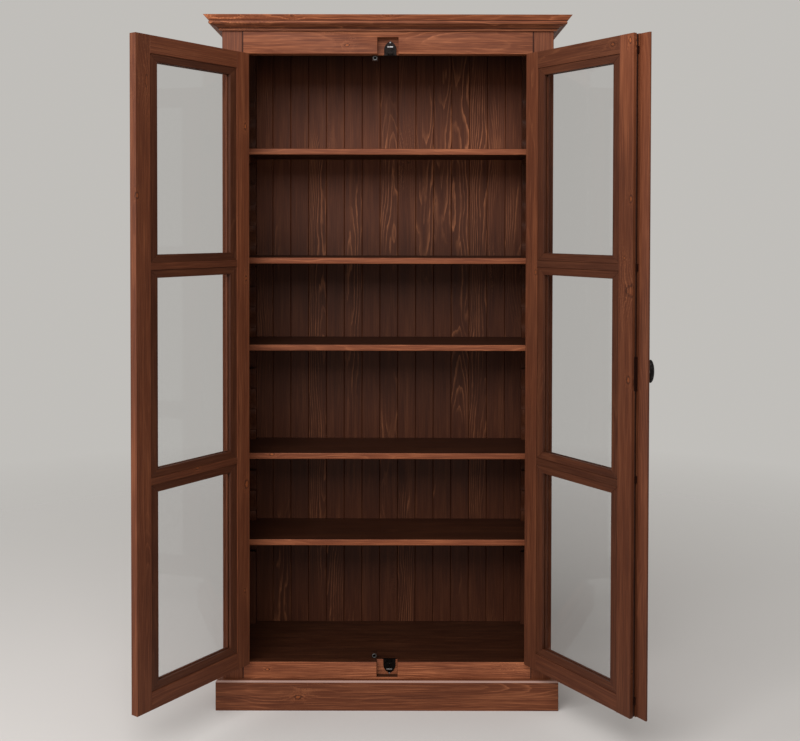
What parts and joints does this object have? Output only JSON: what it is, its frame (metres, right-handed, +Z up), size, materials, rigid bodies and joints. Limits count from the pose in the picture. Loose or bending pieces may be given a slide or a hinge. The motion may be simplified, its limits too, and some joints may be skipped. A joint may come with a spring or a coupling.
{
  "type": "display cabinet",
  "caption": "Tall stained pine display cabinet with two hinged glazed doors, a moulded cornice, a plinth and shelves on toothed racks.",
  "frame": {"origin": "on the floor, in the middle of the width, at the front plane of the face frame", "axes": "+Z up, +X to the right as seen from the front, +Y to the back; the doors open towards -Y"},
  "size_m": [1.2939, 0.7025, 1.91],
  "materials": {
    "stained_pine": "satin",
    "stained_pine_inside": "satin",
    "clear_glass": "polished",
    "dark_bronze": "satin",
    "grey_steel": "satin"
  },
  "bodies": {
    "cabinet": {"back_boards": "stained_pine_inside", "bottom_board": "stained_pine_inside", "cleats_left": "stained_pine_inside", "cleats_right": "stained_pine_inside", "cornice_front": "stained_pine", "cornice_left": "stained_pine", "cornice_right": "stained_pine", "door_stops": "stained_pine", "hinge_leaves_posts": "dark_bronze", "keeper_bottom": "grey_steel", "keeper_top": "grey_steel", "plinth_front": "stained_pine", "plinth_left": "stained_pine", "plinth_right": "stained_pine", "post_front_left": "stained_pine", "post_front_right": "stained_pine", "post_rear_left": "stained_pine", "post_rear_right": "stained_pine", "rack_front_left": "stained_pine_inside", "rack_front_right": "stained_pine_inside", "rack_rear_left": "stained_pine_inside", "rack_rear_right": "stained_pine_inside", "rail_bottom_front": "stained_pine", "rail_top_front": "stained_pine", "shelf_1": "stained_pine", "shelf_2": "stained_pine", "shelf_3": "stained_pine", "shelf_4": "stained_pine", "shelf_5": "stained_pine", "side_panels_left": "stained_pine", "side_panels_right": "stained_pine", "side_rails_left": "stained_pine", "side_rails_right": "stained_pine", "top_board": "stained_pine"},
    "left_door": {"left_stile_hinge": "stained_pine", "left_stile_meeting": "stained_pine", "left_rail_top": "stained_pine", "left_rail_bottom": "stained_pine", "left_rails_middle": "stained_pine", "left_glass": "clear_glass", "left_beads": "stained_pine", "left_hinge_leaves": "dark_bronze"},
    "right_door": {"right_stile_hinge": "stained_pine", "right_stile_meeting": "stained_pine", "right_rail_top": "stained_pine", "right_rail_bottom": "stained_pine", "right_rails_middle": "stained_pine", "right_glass": "clear_glass", "right_beads": "stained_pine", "right_hinge_leaves": "dark_bronze", "astragal": "stained_pine", "knob_plate": "dark_bronze", "lock_case": "grey_steel", "rod_guides": "grey_steel"},
    "knob": {"knob": "dark_bronze"},
    "upper_rod": {"upper_rod": "grey_steel"},
    "lower_rod": {"lower_rod": "grey_steel"}
  },
  "joints": [
    {"name": "left_door_hinge", "type": "hinge", "parent": "cabinet", "child": "left_door", "pos_m": [-0.39925, -0.0045, 0.9695], "axis": [0, 0, -1], "range_deg": [-125.4, 49.6]},
    {"name": "right_door_hinge", "type": "hinge", "parent": "cabinet", "child": "right_door", "pos_m": [0.39925, -0.0045, 0.9695], "axis": [0, 0, 1], "range_deg": [-124, 51]},
    {"name": "knob_turn", "type": "hinge", "parent": "right_door", "child": "knob", "pos_m": [0.61342, -0.32202, 0.978], "axis": [-0.829, -0.5592, 0], "range_deg": [0, 90]},
    {"name": "upper_rod_slide", "type": "slide", "parent": "right_door", "child": "upper_rod", "axis": [0, 0, 1], "range_m": [0, 0.011]},
    {"name": "lower_rod_slide", "type": "slide", "parent": "right_door", "child": "lower_rod", "axis": [0, 0, -1], "range_m": [0, 0.011]}
  ],
  "couplings": [
    {"joint": "upper_rod_slide", "follows": "knob_turn", "m_per_rad": 0.007},
    {"joint": "lower_rod_slide", "follows": "knob_turn", "m_per_rad": 0.007}
  ]
}
